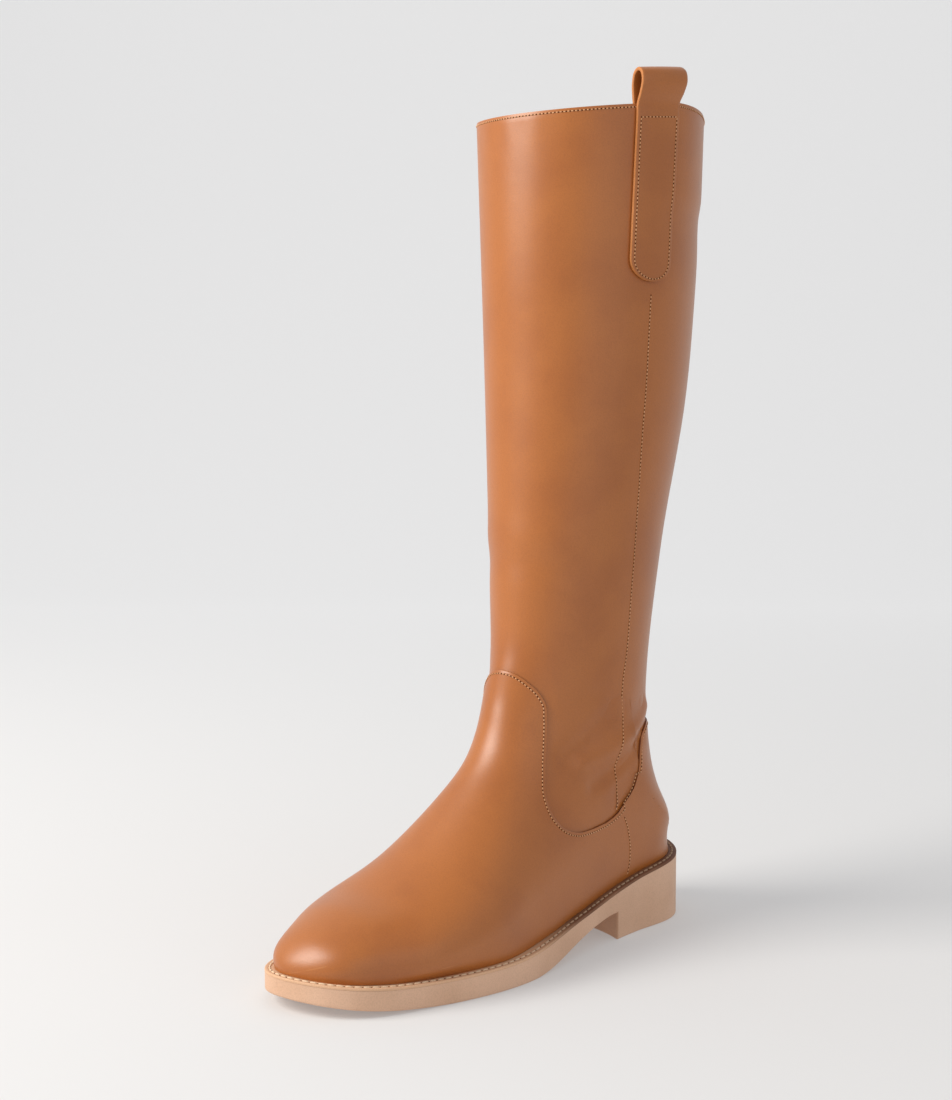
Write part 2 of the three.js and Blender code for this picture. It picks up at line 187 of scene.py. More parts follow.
def last(s, t):
    """Point of the last. s is the section's row. t runs from -1 on the outer side's feather
    line or back, over the ridge at 0, to 1 on the inner side. Above the widest place the
    section is a quarter ellipse, below it a squarer quarter cut off by the feather line."""
    s, t = np.broadcast_arrays(np.asarray(s, float), np.asarray(t, float))
    s = np.clip(s, 1e-4, COLLAR)
    t = np.clip(t, -1, 1)
    to_back = np.maximum(0, -np.cos(np.pi * t))
    s = s - COLLAR_DIP * to_back * (1 + to_back) / 2 * np.maximum(0, s - COLLAR + 1)
    foot = s < REAR
    ty, tz, wy, wz = ridge_y(s), ridge_z(s), wide_y(s), wide_z(s)

    def miss(k):
        y, z = ty + (wy - ty) * k, tz + (wz - tz) * k
        return np.where(foot, z - feather(y), back(z) - y)

    k0, k1 = np.ones_like(s), np.full_like(s, 1.6)
    for _ in range(12):
        m0, m1 = miss(k0), miss(k1)
        spread = np.where(np.abs(m1 - m0) > 1e-12, m1 - m0, 1e-12)
        step = np.where(np.abs(m1) > 1e-9, m1 * (k1 - k0) / spread, 0)
        k0, k1 = k1, k1 - step
    reach = k1
    end_y = ty + (wy - ty) * reach
    power = 2.2 - 0.2 * smoothstep(s, REAR - 2, REAR)
    half = half_width(s)
    angle = np.where(foot, np.arccos(np.clip((CENTRE - end_y) / REACH, -1, 1)), np.pi)
    cut = np.where(foot, np.minimum(plan_half(angle) / half, 0.985), 0)
    depth = (1 - cut**power) ** (1 / power)
    end = np.pi / 2 + np.arcsin(np.minimum(1, depth ** (power / 2)))
    q = np.abs(t)
    turn = np.minimum(q, 0.5) * np.pi + (end - np.pi / 2) * np.maximum(0, 2 * q - 1)
    sine, cosine = np.abs(np.sin(turn)), np.abs(np.cos(turn))
    above = turn <= np.pi / 2
    across = half * np.where(t < 0, 1, -1) * np.where(above, sine, sine ** (2 / power))
    share = np.where(above, 1 - cosine, 1 + (reach - 1) * cosine ** (2 / power) / depth)
    middle = plan_middle(angle) * (1 - smoothstep(s, REAR, COLLAR))
    x = middle + across + np.where(above, lean(s) * cosine**1.5, 0)
    y, z = ty + (wy - ty) * share, tz + (wz - tz) * share
    counter = sum(out * bell(z, height, spread) for out, height, spread in (COUNTER_BELL, ANKLE_HOLLOW))
    grown = 1 + smoothstep(y, -10, 20) * counter / np.maximum(np.hypot(x, y), 1)
    return np.stack([x * grown, y * grown, z], -1)


def unit(v):
    """Vectors divided by their own length."""
    return v / np.maximum(np.linalg.norm(v, axis=-1, keepdims=True), 1e-12)


def last_normal(s, t):
    """Outward normal: cross product of the steps along and round the last."""
    s, t = np.broadcast_arrays(np.asarray(s, float), np.asarray(t, float))
    s = np.maximum(s, 0.05)
    e = 2e-3
    along = last(np.minimum(s + e, COLLAR), t) - last(s - e, t)
    round_ = last(s, np.minimum(t + e, 1)) - last(s, np.maximum(t - e, -1))
    return unit(np.cross(along, round_))


print("collar ridge", last(COLLAR, 0.0).round(1), "normal", last_normal(12.0, -0.5).round(2))


# %% [markdown]
# ## Creases
# Worn leather folds where the ankle bends, dips a little on the shaft's front and turns in
# under the stiff band at the collar. Such folds can be sculpted or simulated. Here each is one
# soft trough or ridge, given by its line in the side view, its depth and its width, so that
# shaft, panel, lining and seams all follow the same fold. Both sides get the same folds.

# %% creases
# depth (+ out, - in), width, then the line's (y, z) points
CREASES = [
    (1.5, 4.5, [(-4, 119), (-16, 112), (-32, 105.6), (-48.6, 99.3), (-62, 97)]),
    (-1.4, 5.5, [(-40, 122), (-48, 117.5), (-62.5, 105), (-72, 100)]),
    (-1.15, 4.0, [(-14, 104.5), (-29.4, 95), (-43, 88.5), (-56, 84)]),
    (0.8, 5.0, [(-34, 88), (-44, 82)]),
    (-0.7, 6.0, [(-50, 132), (-30, 126), (-12, 122)]),
    (-0.5, 8.0, [(-84, 201), (-70, 199), (-60, 197)]),
    (0.35, 8.0, [(-84, 214), (-70, 213)]),
]


def crease_depth(p):
    """How far the creases move a place in or out: for each one its depth times a bell of
    the distance from its line in the side view."""
    yz = p[..., 1:]
    total = np.zeros(p.shape[:-1])
    for depth, width, line in CREASES:
        nearest = np.full(p.shape[:-1], np.inf)
        for a, b in zip(np.array(line[:-1], float), np.array(line[1:], float)):
            ab = b - a
            u = np.clip(((yz - a) @ ab) / (ab @ ab), 0, 1)
            nearest = np.minimum(nearest, np.linalg.norm(yz - a - u[..., None] * ab, axis=-1))
        total += depth * bell(nearest, 0, width)
    x, y, z = np.moveaxis(p, -1, 0)
    rear, front = smoothstep(y, -50, 0), smoothstep(-y, 55, 75)
    collar_band = 0.9 * smoothstep(z, 379, 391) - 0.5 * bell(z, 376, 12)
    ripple = np.sin(x / 2.6 + z / 9) * bell(z, 421, 5)
    return total + rear * collar_band + 0.12 * front * ripple


def skin_at(s, t, out):
    """Place on the boot: the last, moved along its normal by out and by the creases."""
    p = last(s, t)
    return p + last_normal(s, t) * (out + crease_depth(p))[..., None]


print("deepest crease", min(c[0] for c in CREASES), "mm")


# %% [markdown]
# ## Mesh and material helpers
# Every piece is a few grids of points made from whole arrays. Modifiers or sculpting could
# shape them too, but a grid keeps each point's place on the last known. A helper turns the
# grids into one mesh, merges the shared borders, turns the faces outward and counts the edges
# that stay open. The materials are nodes in real millimetres, so grain has its true size.

# %% helpers
def linear(hex_colour):
    """sRGB hex text to linear red, green, blue and one."""
    c = np.array([int(hex_colour[i : i + 2], 16) for i in (1, 3, 5)]) / 255
    return tuple(np.where(c <= 0.04045, c / 12.92, ((c + 0.055) / 1.055) ** 2.4)) + (1.0,)


def piece(name, grids, materials, sharp=38, merge=0.004):
    """One object from grids of points in mm: each (points, material index) becomes quads
    between neighbours, then borders that coincide are merged."""
    verts, faces, index, start = [], [], [], 0
    for points, k in grids:
        rows, cols = points.shape[:2]
        i, j = np.meshgrid(np.arange(rows - 1), np.arange(cols - 1), indexing="ij")
        a = start + i * cols + j
        quads = np.stack([a, a + 1, a + cols + 1, a + cols], -1).reshape(-1, 4)
        verts.append(points.reshape(-1, 3))
        faces.append(quads)
        index.append(np.full(len(quads), k))
        start += rows * cols
    mesh = bpy.data.meshes.new(name)
    mesh.from_pydata((np.concatenate(verts) * MM).tolist(), [], np.concatenate(faces).tolist())
    mesh.polygons.foreach_set("material_index", np.concatenate(index).astype(np.int32))
    work = bmesh.new()
    work.from_mesh(mesh)
    bmesh.ops.remove_doubles(work, verts=work.verts, dist=merge * MM)
    bmesh.ops.dissolve_degenerate(work, edges=work.edges, dist=1e-7)
    bmesh.ops.recalc_face_normals(work, faces=work.faces)
    open_edges = sum(e.is_boundary for e in work.edges)
    work.to_mesh(mesh)
    work.free()
    mesh.polygons.foreach_set("use_smooth", np.ones(len(mesh.polygons), bool))
    mesh.set_sharp_from_angle(angle=math.radians(sharp))
    obj = bpy.data.objects.new(name, mesh)
    bpy.context.scene.collection.objects.link(obj)
    for material in materials:
        mesh.materials.append(material)
    print(name, len(mesh.polygons), "faces,", open_edges, "open edges")
    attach(obj, "root")
    return obj


def add(tree, kind, inputs=None, **settings):
    """Adds one node, sets its settings and fills or links its inputs."""
    node = tree.nodes.new(kind)
    for key, value in settings.items():
        setattr(node, key, value)
    for key, value in (inputs or {}).items():
        if isinstance(value, bpy.types.NodeSocket):
            tree.links.new(value, node.inputs[key])
        else:
            node.inputs[key].default_value = value
    return node


def mix(tree, share, first, second):
    """Mixes two colours by a share."""
    node = add(tree, "ShaderNodeMix", data_type="RGBA")
    for slot_number, value in ((0, share), (6, first), (7, second)):
        socket = node.inputs[slot_number]
        if isinstance(value, bpy.types.NodeSocket):
            tree.links.new(value, socket)
        else:
            socket.default_value = value
    return node.outputs[2]


def ramp(tree, value, low, high):
    """Smooth share of a value between two limits."""
    limits = {0: value, 1: low, 2: high}
    return add(tree, "ShaderNodeMapRange", limits, interpolation_type="SMOOTHSTEP").outputs[0]


def material(name, colour, shade, worn, roughness, grain_mm, bump_mm, gloss=0.5, coat=0.0,
             wear=0.25, fibre=1.0, painted_rear_shade=None):
    """Procedural material. The colour drifts between two tones over centimetres, convex
    edges are worn paler, cells of the grain's own size give the bump, and fine noise varies
    the roughness. All patterns use object coordinates in metres."""
    m = bpy.data.materials.new(name)
    m.use_nodes = True
    tree = m.node_tree
    shader = tree.nodes["Principled BSDF"]
    place = add(tree, "ShaderNodeTexCoord").outputs["Object"]
    if fibre != 1.0:
        place = add(tree, "ShaderNodeMapping", {"Vector": place, "Scale": (1, 1, fibre)}).outputs[0]
    drift = add(tree, "ShaderNodeTexNoise", {"Vector": place, "Scale": 28.0, "Detail": 3.0})
    cells = add(tree, "ShaderNodeTexVoronoi", {"Vector": place, "Scale": 1000 / grain_mm})
    fine = add(tree, "ShaderNodeTexNoise", {"Vector": place, "Scale": 1600.0, "Detail": 4.0})
    wide = add(tree, "ShaderNodeTexNoise", {"Vector": place, "Scale": 150.0, "Detail": 2.0})
    base = linear(colour)
    # painted shade: behind a given y the tone turns darker, standing in for the upper's shadow on the
    # welt
    if painted_rear_shade:
        parts = add(tree, "ShaderNodeSeparateXYZ", {"Vector": place})
        share = ramp(tree, parts.outputs["Y"], painted_rear_shade[1], painted_rear_shade[2])
        base = mix(tree, share, base, linear(painted_rear_shade[0]))
    toned = mix(tree, ramp(tree, drift.outputs[0], 0.38, 0.7), base, linear(shade))
    if painted_rear_shade:
        toned = mix(tree, 0.25, base, toned)
    pores = mix(tree, 0.12, toned, (0.02, 0.01, 0.006, 1))
    grained = mix(tree, ramp(tree, fine.outputs[0], 0.35, 0.75), toned, pores)
    edges = add(tree, "ShaderNodeNewGeometry").outputs["Pointiness"]
    convex = {0: ramp(tree, edges, 0.53, 0.66), 1: wear}
    worn_share = add(tree, "ShaderNodeMath", convex, operation="MULTIPLY")
    finished = mix(tree, worn_share.outputs[0], grained, linear(worn))
    tree.links.new(finished, shader.inputs["Base Color"])
    rough_range = {0: fine.outputs[0], 3: roughness - 0.05, 4: roughness + 0.07}
    rough = add(tree, "ShaderNodeMapRange", rough_range)
    tree.links.new(rough.outputs[0], shader.inputs["Roughness"])
    grain = add(tree, "ShaderNodeMath", {0: cells.outputs["Distance"], 1: 0.6}, operation="MULTIPLY")
    relief = add(tree, "ShaderNodeMath", {0: grain.outputs[0], 1: wide.outputs[0]}, operation="ADD")
    bump_inputs = {"Height": relief.outputs[0], "Strength": 0.5, "Distance": bump_mm * MM}
    bump = add(tree, "ShaderNodeBump", bump_inputs)
    tree.links.new(bump.outputs[0], shader.inputs["Normal"])
    shader.inputs["Specular IOR Level"].default_value = gloss
    if coat:
        shader.inputs["Coat Weight"].default_value = coat
        shader.inputs["Coat Roughness"].default_value = 0.48
    return m


# colour, shade, worn edge, roughness, grain size, bump depth
# drum-dyed calf with a thin finish coat: a soft, broad sheen
leather = material(
    "tan calf leather", "#b0672a", "#a86026", "#cc8a50", 0.35, 0.55, 0.09, gloss=0.55, coat=0.15
)
# the panel's edge is coloured dark as painted shadow of the step down to the shaft; edges only cut look
# paler and dry
panel_edge_shade = material("panel edge painted shade", "#7d4526", "#6e3b20", "#9a5c38", 0.6, 0.3, 0.06, gloss=0.3)
cut_edge = material("raw leather edge", "#cb8550", "#bd7840", "#dba06c", 0.7, 0.3, 0.08, gloss=0.3)
# vegetable-tanned and unfinished: nearly no shine
lining_leather = material(
    "lining leather", "#c49a72", "#b58a62", "#d8b592", 0.75, 0.5, 0.06, gloss=0.3
)
insole_leather = material(
    "insole leather", "#c9a27c", "#b8906a", "#dcc0a0", 0.8, 0.5, 0.06, gloss=0.3
)
# the welt is pale; from the waist back it turns dark as painted shade, where the upper shadows the
# ledge
welt_leather = material(
    "welt leather", "#dcb08c", "#cfa27c", "#ecceb0", 0.6, 0.4, 0.07, gloss=0.35,
    painted_rear_shade=("#6e4229", -0.125, -0.075),
)
# rubber as it leaves a fine-blasted mould: even and matte
sole_rubber = material(
    "moulded sole rubber", "#dfb698", "#d5ab8c", "#ecd0b8", 0.55, 0.7, 0.03, gloss=0.4
)
thread = material("waxed thread", "#e0ab7c", "#d29966", "#eec8a4", 0.6, 0.12, 0.04, gloss=0.3)
# the welt thread is also darker from the waist back: painted shade, as on the welt
welt_thread = material(
    "heavy welt thread", "#e6c9a8", "#d8b48e", "#f0dcc4", 0.65, 0.15, 0.05, gloss=0.3,
    painted_rear_shade=("#a88a6e", -0.125, -0.075),
)
# dark dots put at the stitch holes: painted shade of the holes
painted_hole_shade = material("stitch hole painted shade", "#5c3018", "#502812", "#6a3a20", 0.9, 0.3, 0.02, gloss=0.1)
print(len(bpy.data.materials), "materials")


# %% [markdown]
# ## The panel's edge as a line on the last
# Columns of shaft and panel both start on this line, spaced evenly along it, so the cut edge
# stays crisp where it turns steeply at the instep and behind the ankle.

# %% panel edge
side = last(PANEL_EDGE[:, 1], -PANEL_EDGE[:, 0])
run = np.concatenate([[0], np.cumsum(np.linalg.norm(np.diff(side, axis=0), axis=1))])
edge_curve = curve(run, PANEL_EDGE)
half_edge = edge_curve(np.linspace(0, run[-1], 191))
edge = np.concatenate([half_edge[::-1] * [-1, 1, -1], half_edge[1:]])
edge_t, edge_s, even_t = np.clip(edge[:, 0], -1, 1), edge[:, 1], np.clip(edge[:, 2], -1, 1)
print("panel edge", round(2 * run[-1]), "mm long,", len(edge), "columns")

# %% [markdown]
# ## Shaft
# One hollow tube of calf leather, sewn from a front and a back half. It starts a little under
# the foot panel, keeps a thickness of 1.2 mm and ends in a turned edge at the collar. A skin
# with a Solidify modifier would do, but its rim would be square, so the profile of the wall is
# carried out and back in one loop of rows.

# %% shaft
low_s = edge_s - 0.4


def shaft_rows(shares, out):
    """Rows from the panel's edge (share 0) to the collar (1). Low rows follow the edge's own
    places round the last, high rows the even ones, blended by an eighth power."""
    s = low_s + (COLLAR - low_s) * shares[:, None]
    drop = -0.5 * (1 - smoothstep(s - edge_s, 0, 1.2))
    t = even_t + (edge_t - even_t) * (1 - shares[:, None]) ** 8
    return skin_at(s, t, drop + out[:, None])


rise = np.linspace(0, 1, 118)
shares = np.concatenate([rise[:-1], [0.9985, 1, 1, 0.9985], rise[-2::-13], [0]])
turned_edge = [-0.25, -0.95, -SHAFT_THICK]
inside_rows = len(shares) - len(rise) - len(turned_edge)
outs = np.concatenate([np.zeros(len(rise)), turned_edge, np.full(inside_rows, -SHAFT_THICK)])
shaft_loop = shaft_rows(shares, outs)
shaft = piece("shaft", [(np.concatenate([shaft_loop, shaft_loop[:1]]), 0)], [leather])
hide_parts("upper")

# %% [markdown]
# ## Foot panel
# Vamp and counter in one, sewn over the shaft: a skin 1.3 mm thick that stands proud of it,
# from the toe to its curved upper edge and down to the welt. A real edge needs real thickness,
# so it is an outer and an inner skin with the cut edge between them, coloured dark as painted
# shadow of the step down to the shaft.

# %% foot panel
foot_share = REAR / edge_s[0]
near_rear = foot_share * (7 + np.sin(np.linspace(0, np.pi / 2, 16))) / 8
up_foot = np.concatenate([
    np.linspace(0, foot_share / 8, 12)[:-1],
    np.linspace(foot_share / 8, foot_share * 7 / 8, 52)[:-1],
    near_rear,
    np.linspace(foot_share, 0.9975, 24)[1:],
])


def panel_grid(shares, out):
    """Rows from the toe (share 0) to the panel's upper edge (1), blended as the shaft's."""
    s = edge_s * shares[:, None]
    t = even_t + (edge_t - even_t) * shares[:, None] ** 8
    return skin_at(s, t, out[:, None] * np.ones_like(s))


full_foot = np.append(up_foot, 1)
rounded_edge = 0.5
outer_rows = panel_grid(full_foot, np.append(np.full(len(up_foot), PANEL_PROUD), rounded_edge))
inner_rows = panel_grid(full_foot, np.full(len(full_foot), -PANEL_UNDER))
in_foot = int(np.sum(up_foot <= foot_share + 1e-9))
walls = [np.stack([outer_rows[:in_foot, k], inner_rows[:in_foot, k]]) for k in (0, -1)]
cut_rows = np.stack([outer_rows[-1], inner_rows[-1]])
panel_grids = [(outer_rows, 0), (inner_rows, 0), (cut_rows, 1), (walls[0], 0), (walls[1], 0)]
panel = piece("foot_panel", panel_grids, [leather, panel_edge_shade])
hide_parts("upper")

# %% [markdown]
# ## Lining
# Thin lining leather glued inside the whole upper; it shows only inside the collar. It could
# be a second material on the shaft, but as its own skin it covers the inside of the foot too.

# %% lining
near_heel = 7 + np.sin(np.linspace(0, np.pi / 2, 10))
up_leg = np.linspace(REAR, COLLAR - 0.03, 50)
lining_s = np.concatenate([np.linspace(0, 7, 36)[:-1], near_heel, up_leg[1:]])
lining_t = np.linspace(-1, 1, 121)


def lining_grid(out):
    """The whole inside of the boot, moved outwards by out."""
    s, t = np.meshgrid(lining_s, lining_t, indexing="ij")
    return skin_at(s, t, np.full(s.shape, out))


lining_out, lining_in = lining_grid(-1.3), lining_grid(-LINING_IN)
rows_in_foot = int(np.sum(lining_s <= REAR))
foot_skins = lining_out[:rows_in_foot], lining_in[:rows_in_foot]
lining_walls = [(np.stack([skin[:, k] for skin in foot_skins]), 0) for k in (0, -1)]
lining_rim = (np.stack([lining_out[-1], lining_in[-1]]), 0)
lining = piece(
    "lining", [(lining_out, 0), (lining_in, 0), lining_rim] + lining_walls, [lining_leather]
)
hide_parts("upper")


# %% [markdown]
# ## Welt
# A strip of welt leather all round the feather line. Its ledge carries a shallow channel in
# which the heavy stitches lie. From the waist back its colour is dark, painted shade where the
# upper shadows the ledge. Its cross-section is drawn once and carried round the feather line,
# as a cutter would skive a long strip.

# %% welt
def plan_ring(angle, outwards):
    """Feather line moved outwards: x and y at angles 0..360 degrees from the toe tip, the
    inner side being the second half turn."""
    mirrored = np.where(angle > np.pi, 2 * np.pi - angle, angle)
    mirrored = np.clip(mirrored, 2e-4, np.pi - 2e-4)
    e = 1e-4
    y = CENTRE - REACH * np.cos(mirrored)
    dy = REACH * (np.cos(mirrored - e) - np.cos(mirrored + e))
    dw = plan_half(mirrored + e) - plan_half(mirrored - e)
    length = np.hypot(dy, dw)
    half = np.maximum(0, plan_half(mirrored) + outwards * dy / length)
    x = plan_middle(mirrored) + np.where(angle > np.pi, -half, half)
    return x, y - outwards * dw / length


def plan_rows(angle, profile):
    """One row of points round the plan for each (outwards, height over the feather line)."""
    rows = []
    for outwards, over in profile:
        x, y = plan_ring(angle, outwards)
        rows.append(np.stack([x, y, feather(y) + over], -1))
    return np.array(rows)


round_plan = np.linspace(0, 2 * np.pi, 361)
WELT_PROFILE = [
    (-3, -0.3), (0, -0.3), (1.6, -0.3), (2.3, -0.38), (3.0, -0.6), (3.7, -0.38), (4.7, -0.34),
    (5.2, -0.45), (5.45, -0.75), (5.5, -1.1), (5.45, -1.65), (5.3, -1.7), (-3, -1.7), (-3, -0.3),
]
welt = piece("welt_strip", [(plan_rows(round_plan, WELT_PROFILE), 0)], [welt_leather], sharp=50)
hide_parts("welt")


# %% [markdown]
# ## Outsole with moulded heel
# One moulding: a slab with toe spring and arch, and a low block heel whose front is hollowed.
# The lower rim is rounded by 1 mm, as a mould leaves it. Walls, tread and lid are grids over
# the same plan, so the heel's corner stays sharp where a bevelled box would blur it.

# %% outsole
def tread(y):
    """Height of the tread: toe spring as a square law, flat at the ball, then a cosine rise
    to the heel's front."""
    toe = np.maximum(0, (FOREFOOT_FRONT - y) / TOE_OVER)
    arch = np.clip((y - FOREFOOT_REAR) / (BREAST_Y - FOREFOOT_REAR), 0, 1)
    return TOE_RISE * toe**2 + BREAST_RISE * (1 - np.cos(np.pi * arch)) / 2


breast_angle = math.acos((CENTRE - BREAST_Y) / REACH)
front_angles = np.linspace(0, breast_angle, 120)
rear_angles = np.linspace(breast_angle, np.pi, 70)
side_angles = np.concatenate([front_angles, rear_angles])
in_heel = np.arange(len(side_angles)) >= len(front_angles)
top_over = -GAP - WELT_THICK - 0.05
ROUND = 1.0


def sole_wall(sign):
    """One side's wall, from the welt straight down to the tread's rounded rim: a quarter
    circle of radius ROUND. sign is 1 for the outer side and -1 for the inner one."""
    angle = side_angles if sign > 0 else 2 * np.pi - side_angles
    rows = []
    quarter = np.linspace(0, math.pi / 2, 6)
    rim_profile = [(LEDGE - ROUND * (1 - math.cos(a)), ROUND * (1 - math.sin(a))) for a in quarter]
    for outwards, height in [(LEDGE, None)] + rim_profile:
        x, y = plan_ring(angle, outwards)
        x0, y0 = plan_ring(angle, LEDGE)
        bottom = np.where(in_heel, 0, tread(y0))
        z = feather(y0) + top_over if height is None else bottom + height
        rows.append(np.stack([x, y, z], -1))
    upper_row, first = rows[0], rows[1]
    middle_rows = [upper_row + (first - upper_row) * u for u in np.linspace(0, 1, 7)[:-1]]
    return np.array(middle_rows + rows[1:])


outer_wall, inner_wall = sole_wall(1), sole_wall(-1)
across = np.linspace(0, 1, 41)[None, :, None]
under = outer_wall[-1][:, None] * (1 - across) + inner_wall[-1][:, None] * across
sag = 4 * across[..., 0] * (1 - across[..., 0])
n_front = len(front_angles)
heel_fade = np.clip(1 - np.arange(len(rear_angles)) / 40, 0, 1) ** 2
under[n_front:, :, 1] += BREAST_HOLLOW * sag * heel_fade[:, None]
arch_fade = np.clip(1 - (n_front - 1 - np.arange(n_front)) / 30, 0, 1) ** 2
under[:n_front, :, 1] += BREAST_HOLLOW * sag * arch_fade[:, None]
lid = outer_wall[0][:, None] * (1 - across) + inner_wall[0][:, None] * across
outsole = piece(
    "sole_moulding", [(outer_wall, 0), (inner_wall, 0), (under, 0), (lid, 0)], [sole_rubber], sharp=40
)
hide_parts("outsole")
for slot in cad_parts["insole"].material_slots:
    slot.material = insole_leather
print("insole slots", len(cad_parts["insole"].material_slots))

# %% [markdown]
# ## Pull loop
# One strap with raw, paler edges: a rounded end sewn on the shaft, a loose fold over the
# collar, and the other end sewn inside. A curve with a flat bevel could fold so too, but a path
# given as up and outwards from the collar keeps the sewn stretches on the leather.

# %% pull loop
LOOP_T, LOOP_WIDTH, LOOP_THICK = -0.42, 26.0, 1.8
LOOP_BELOW, LOOP_ABOVE, LOOP_INSIDE = 90.0, 17.0, 45.0
rim = last(COLLAR, LOOP_T)
per_row = np.linalg.norm(rim - last(COLLAR - 1e-3, LOOP_T)) / 1e-3
per_turn = np.linalg.norm(last(COLLAR, LOOP_T + 1e-3) - rim) / 1e-3
ON_OUTER, ON_INNER = GAP + LOOP_THICK / 2, -(LINING_IN + GAP + LOOP_THICK / 2)
# share of the fold's height, outwards
FOLD = ((0.3, 4), (0.65, 6), (0.9, 4.9), (1, 1.2), (0.9, -2.4), (0.6, -4.2), (0.25, -3.9))
LOOP_PATH = np.array(
    [(-LOOP_BELOW * u, ON_OUTER) for u in (1, 0.8, 0.6, 0.4, 0.2, 0.08, 0)]
    + [(LOOP_ABOVE * u, out) for u, out in FOLD]
    + [(-LOOP_INSIDE * u, ON_INNER) for u in (0, 0.5, 1)]
)
loop_run = np.concatenate([[0], np.cumsum(np.linalg.norm(np.diff(LOOP_PATH, axis=0), axis=1))])
loop_line = curve(loop_run, LOOP_PATH)
LOOP_TIP = LOOP_WIDTH / 2
tip_run = LOOP_TIP * (1 - np.cos(np.linspace(0, np.pi / 2, 24)))
loop_steps = np.concatenate([tip_run[:-1], np.linspace(LOOP_TIP, loop_run[-1], 150)])


def loop_frame(steps, shares):
    """Middle surface of the strap: up along the shaft, out by the path, width round it."""
    up, out = loop_line(steps).T
    from_tip = np.minimum(steps, LOOP_TIP)
    half = np.sqrt(np.maximum(LOOP_TIP**2 - (LOOP_TIP - from_tip) ** 2, 0.01))
    s = (COLLAR + np.minimum(up, 0) / per_row)[:, None] * np.ones_like(shares)
    t = LOOP_T + half[:, None] * shares / per_turn
    on_last = last(s, t)
    outwards = out[:, None] + crease_depth(on_last)
    p = on_last + last_normal(np.minimum(s, COLLAR - 0.01), t) * outwards[..., None]
    p[..., 2] += np.maximum(up, 0)[:, None]
    return p


loop_shares = np.linspace(-1, 1, 19)[None, :]
strap = loop_frame(loop_steps, loop_shares)
along = np.gradient(strap, axis=0)
sideways = np.gradient(strap, axis=1)
sideways[0] = sideways[1]
strap_normal = unit(np.cross(along, sideways))
strap_side = unit(sideways)
inner_half = LOOP_THICK / 2
face_a = strap + strap_normal * inner_half
face_b = strap - strap_normal * inner_half


def bulge(k, sign):
    """Rounded raw edge along column k: a half turn of sine and cosine, 0.45 mm proud."""
    turn = np.linspace(-np.pi / 2, np.pi / 2, 7)[None, :, None]
    line, normal, outward = [v[:, k][:, None] for v in (strap, strap_normal, strap_side)]
    return line + normal * inner_half * np.sin(turn) + sign * outward * 0.45 * np.cos(turn)


ends = [np.stack([face_a[k], face_b[k]]) for k in (0, -1)]
loop = piece(
    "pull_strap",
    [(face_a, 0), (face_b, 0), (bulge(0, -1), 1), (bulge(-1, 1), 1), (ends[0], 1), (ends[1], 1)],
    [leather, cut_edge],
)
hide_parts("pull_loop")

# %% [markdown]
# ## Stitches
# Each stitch is a small rounded bar of thread lying in the leather. Between it and the next sits
# a flat dark dot, painted shade for the stitch hole. A bump texture could only hint at them.
# Joined bars catch the light, and they are placed evenly along each seam's own line.

# %% stitch makers
def evenly(points, normals, pitch):
    """Places, directions and normals every pitch along a line of points."""
    steps = np.linalg.norm(np.diff(points, axis=0), axis=1)
    length = np.concatenate([[0], np.cumsum(steps)])
    count = int(length[-1] // pitch)
    at = (np.arange(count) + 0.5) * length[-1] / count
    where = np.stack([np.interp(at, length, points[:, k]) for k in range(3)], -1)
    ahead = np.stack([np.interp(at + 0.4, length, points[:, k]) for k in range(3)], -1)
    behind = np.stack([np.interp(at - 0.4, length, points[:, k]) for k in range(3)], -1)
    normal = unit(np.stack([np.interp(at, length, normals[:, k]) for k in range(3)], -1))
    return where, unit(ahead - behind), normal


def bars(name, rows, length, width, height, finish, lift, shift=0.0):
    """Joined rounded bars: rings of eight points whose radius follows a flattened circle at
    both ends, copied to every place of every row."""
    u = np.array([-1, -0.8, -0.4, 0.4, 0.8, 1.0])
    radius = np.array([0.02, 0.62, 1.0, 1.0, 0.62, 0.02])
    turn = np.linspace(0, 2 * np.pi, 9)[:-1]
    local = np.stack([
        (u * length / 2)[:, None] * np.ones(8),
        radius[:, None] * np.cos(turn) * width / 2,
        radius[:, None] * np.sin(turn) * height / 2,
    ], -1).reshape(-1, 3)
    i, j = np.meshgrid(np.arange(len(u) - 1), np.arange(8), indexing="ij")
    k = (j + 1) % 8
    quads = np.stack([i * 8 + j, i * 8 + k, (i + 1) * 8 + k, (i + 1) * 8 + j], -1).reshape(-1, 4)
    # each end ring of eight points is closed by three quads
    cap = np.array([[0, 1, 2, 3], [4, 5, 6, 7], [3, 4, 7, 0]])
    far_ring = 8 * (len(u) - 1)
    quads = np.concatenate([quads, cap[:, ::-1], far_ring + cap])
    where, ahead, normal = [np.concatenate(a) for a in zip(*rows)]
    across_ = unit(np.cross(normal, ahead))
    centre = where + normal * lift + ahead * shift
    points = (
        centre[:, None]
        + ahead[:, None] * local[None, :, :1]
        + across_[:, None] * local[None, :, 1:2]
        + normal[:, None] * local[None, :, 2:]
    )
    count = len(where)
    all_quads = quads[None] + (np.arange(count) * len(local))[:, None, None]
    mesh = bpy.data.meshes.new(name)
    mesh.from_pydata((points.reshape(-1, 3) * MM).tolist(), [], all_quads.reshape(-1, 4).tolist())
    work = bmesh.new()
    work.from_mesh(mesh)
    bmesh.ops.recalc_face_normals(work, faces=work.faces)
    work.to_mesh(mesh)
    work.free()
    mesh.polygons.foreach_set("use_smooth", np.ones(len(mesh.polygons), bool))
    mesh.materials.append(finish)
    obj = bpy.data.objects.new(name, mesh)
    bpy.context.scene.collection.objects.link(obj)
    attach(obj, "root")
    print(name, count, "stitches,", len(mesh.polygons), "faces")
    return obj


